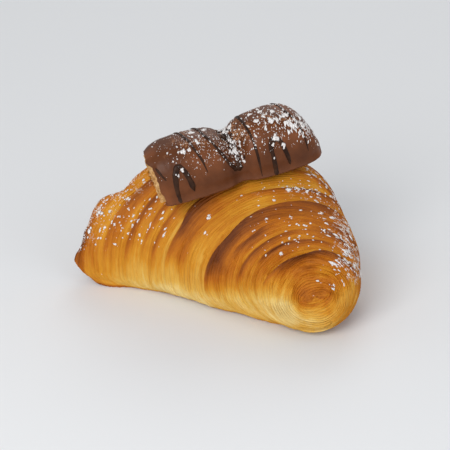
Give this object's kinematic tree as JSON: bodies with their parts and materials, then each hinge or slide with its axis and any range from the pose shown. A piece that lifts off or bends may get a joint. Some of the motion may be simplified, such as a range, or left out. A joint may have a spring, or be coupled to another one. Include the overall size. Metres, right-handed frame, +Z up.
{
  "type": "sfogliatella",
  "caption": "Sfogliatella: a cone of wound, crisp pastry leaves with its mouth pressed shut, topped with a piece of domed chocolate-coated wafer bar.",
  "frame": {"origin": "centre of the base, on the surface the pastry stands on", "axes": "+X along the pressed mouth, the longest extent, towards its short side; -Y towards the nose of the cone; +Z up"},
  "size_m": [0.1014, 0.0772, 0.0649],
  "materials": {
    "pastry_crust": "matte, flaky, golden to brown",
    "milk_chocolate": "satin",
    "wafer": "dry and crumbly"
  },
  "bodies": {
    "root": {"pastry": "pastry_crust", "chocolate_coating": "milk_chocolate", "wafer": "wafer"}
  },
  "joints": []
}
